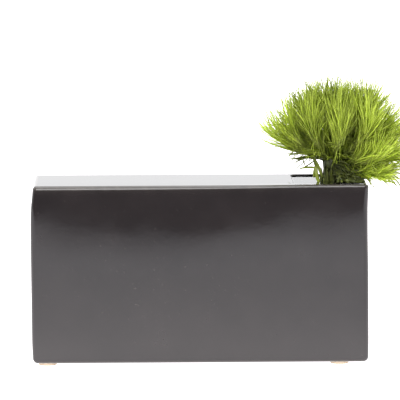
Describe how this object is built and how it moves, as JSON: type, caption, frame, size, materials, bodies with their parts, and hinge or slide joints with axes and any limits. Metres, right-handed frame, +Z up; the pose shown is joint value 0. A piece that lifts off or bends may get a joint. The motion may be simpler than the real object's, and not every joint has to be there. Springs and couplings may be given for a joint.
{
  "type": "ikebana flower vessel",
  "caption": "Upright block-shaped glazed ceramic flower vessel on felt pads, with a square water well at one end, a lift-out pin holder and a round feathery green flower head.",
  "frame": {"origin": "middle of the vessel's footprint, on the plane of the pads' undersides that it stands on", "axes": "+Z up, +X along the long front face towards the end with the well, +Y from the front face to the back"},
  "size_m": [0.2324, 0.085, 0.1697],
  "materials": {
    "dark_glaze": "gloss",
    "pad_felt": "matte",
    "holder_rubber": "matte",
    "holder_lead": "satin",
    "holder_brass": "satin",
    "stalk_green": "satin",
    "leaf_green": "satin",
    "tuft_green": "satin"
  },
  "bodies": {
    "vessel": {"vessel_body": "dark_glaze", "foot_pad_front_left": "pad_felt", "foot_pad_front_right": "pad_felt", "foot_pad_rear_left": "pad_felt", "foot_pad_rear_right": "pad_felt"},
    "kenzan": {"kenzan_mat": "holder_rubber", "kenzan_base": "holder_lead", "kenzan_pins": "holder_brass"},
    "flower": {"flower_stalk": "stalk_green", "flower_crown": "stalk_green", "leaf_right": "leaf_green", "leaf_right_rear": "leaf_green", "leaf_well": "leaf_green", "tuft_01": "tuft_green", "tuft_02": "tuft_green", "tuft_03": "tuft_green", "tuft_04": "tuft_green", "tuft_05": "tuft_green", "tuft_06": "tuft_green", "tuft_07": "tuft_green", "tuft_08": "tuft_green", "tuft_09": "tuft_green", "tuft_10": "tuft_green", "tuft_11": "tuft_green", "tuft_12": "tuft_green", "tuft_13": "tuft_green", "tuft_14": "tuft_green", "tuft_15": "tuft_green", "tuft_16": "tuft_green", "tuft_17": "tuft_green", "tuft_18": "tuft_green", "tuft_19": "tuft_green", "tuft_20": "tuft_green", "tuft_21": "tuft_green", "tuft_22": "tuft_green", "tuft_23": "tuft_green", "tuft_24": "tuft_green", "tuft_25": "tuft_green"}
  },
  "joints": [
    {"name": "kenzan_lift", "type": "slide", "parent": "vessel", "child": "kenzan", "axis": [0, 0, 1], "range_m": [0, 0.12]},
    {"name": "flower_lift", "type": "slide", "parent": "kenzan", "child": "flower", "axis": [0, 0, 1], "range_m": [0, 0.1]}
  ]
}
